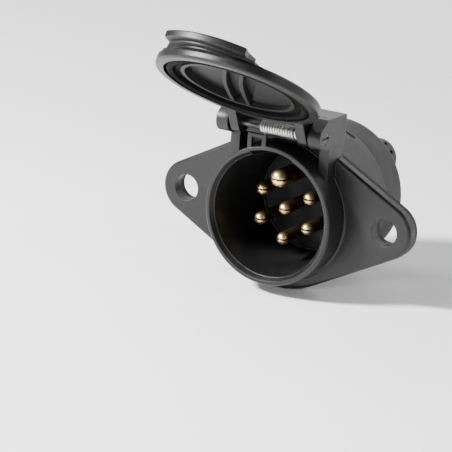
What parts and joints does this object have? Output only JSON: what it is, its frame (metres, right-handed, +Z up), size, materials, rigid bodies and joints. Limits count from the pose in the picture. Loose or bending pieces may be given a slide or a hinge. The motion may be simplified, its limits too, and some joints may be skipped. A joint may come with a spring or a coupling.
{
  "type": "trailer wiring connector",
  "caption": "Panel-mounted truck trailer socket: round mouth with brass pins, two-hole flange, sprung hinged lid and rear cable cover.",
  "frame": {"origin": "middle of the line between the two mounting holes, on the rear face of the gasket, which is the face of the panel", "axes": "+X along the line of the mounting holes; +Y out of the back, along the mouth's axis into the panel; +Z up, towards the lid's hinge"},
  "size_m": [0.1122, 0.1283, 0.1139],
  "materials": {
    "body_nylon": "satin moulded, fine grain",
    "lid_nylon": "satin moulded, fine grain",
    "inner_nylon": "moulded, dull",
    "seal_rubber": "dull",
    "gasket_rubber": "dull",
    "contact_brass": "turned, bright",
    "screw_steel": "zinc plated",
    "spring_steel": "bright drawn wire"
  },
  "bodies": {
    "housing": {"housing": "body_nylon", "mounting_gasket": "gasket_rubber", "contact_carrier": "inner_nylon", "carrier_seal": "seal_rubber", "carrier_screws": "screw_steel", "terminal_screws": "screw_steel", "rear_cover": "body_nylon", "cover_ring": "seal_rubber", "cable_seal": "seal_rubber", "gland_ring": "inner_nylon", "gland_nut": "body_nylon", "hinge_pin": "screw_steel", "hinge_pin_clip": "screw_steel", "lid_spring": "spring_steel", "contact_pin_1": "contact_brass", "contact_pin_2": "contact_brass", "contact_pin_3": "contact_brass", "contact_pin_4": "contact_brass", "contact_pin_5": "contact_brass", "contact_pin_6": "contact_brass", "contact_pin_7": "contact_brass"},
    "lid": {"lid": "lid_nylon", "lid_seal": "seal_rubber", "seal_retainer": "lid_nylon", "spring_lid_leg": "spring_steel"}
  },
  "joints": [
    {"name": "lid_hinge", "type": "hinge", "parent": "housing", "child": "lid", "pos_m": [0, -0.0191, 0.0354], "axis": [-1, 0, 0], "range_deg": [-121, 0]}
  ]
}
